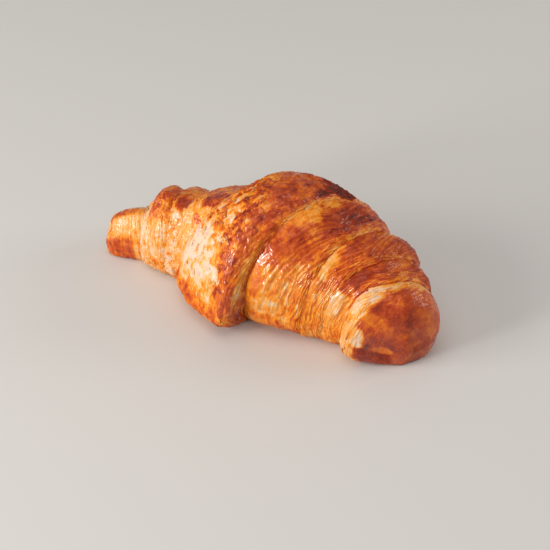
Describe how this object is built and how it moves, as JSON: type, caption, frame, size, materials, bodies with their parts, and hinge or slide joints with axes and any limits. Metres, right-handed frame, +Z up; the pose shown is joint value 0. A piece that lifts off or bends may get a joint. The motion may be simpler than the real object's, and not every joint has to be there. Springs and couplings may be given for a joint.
{
  "type": "croissant",
  "caption": "Baked butter croissant of rolled laminated dough, lying flat, with a thin tip, a thick tip and a tail lobe over its middle.",
  "frame": {"origin": "middle of the box of the croissant, on its flat underside", "axes": "+X along the roll from the thin tip to the thick tip, +Y towards the back, away from the tail lobe, +Z up"},
  "size_m": [0.1736, 0.0784, 0.064],
  "materials": {
    "crust": "baked golden-brown crust with a thin egg-wash gloss"
  },
  "bodies": {
    "root": {"croissant": "crust"}
  },
  "joints": []
}
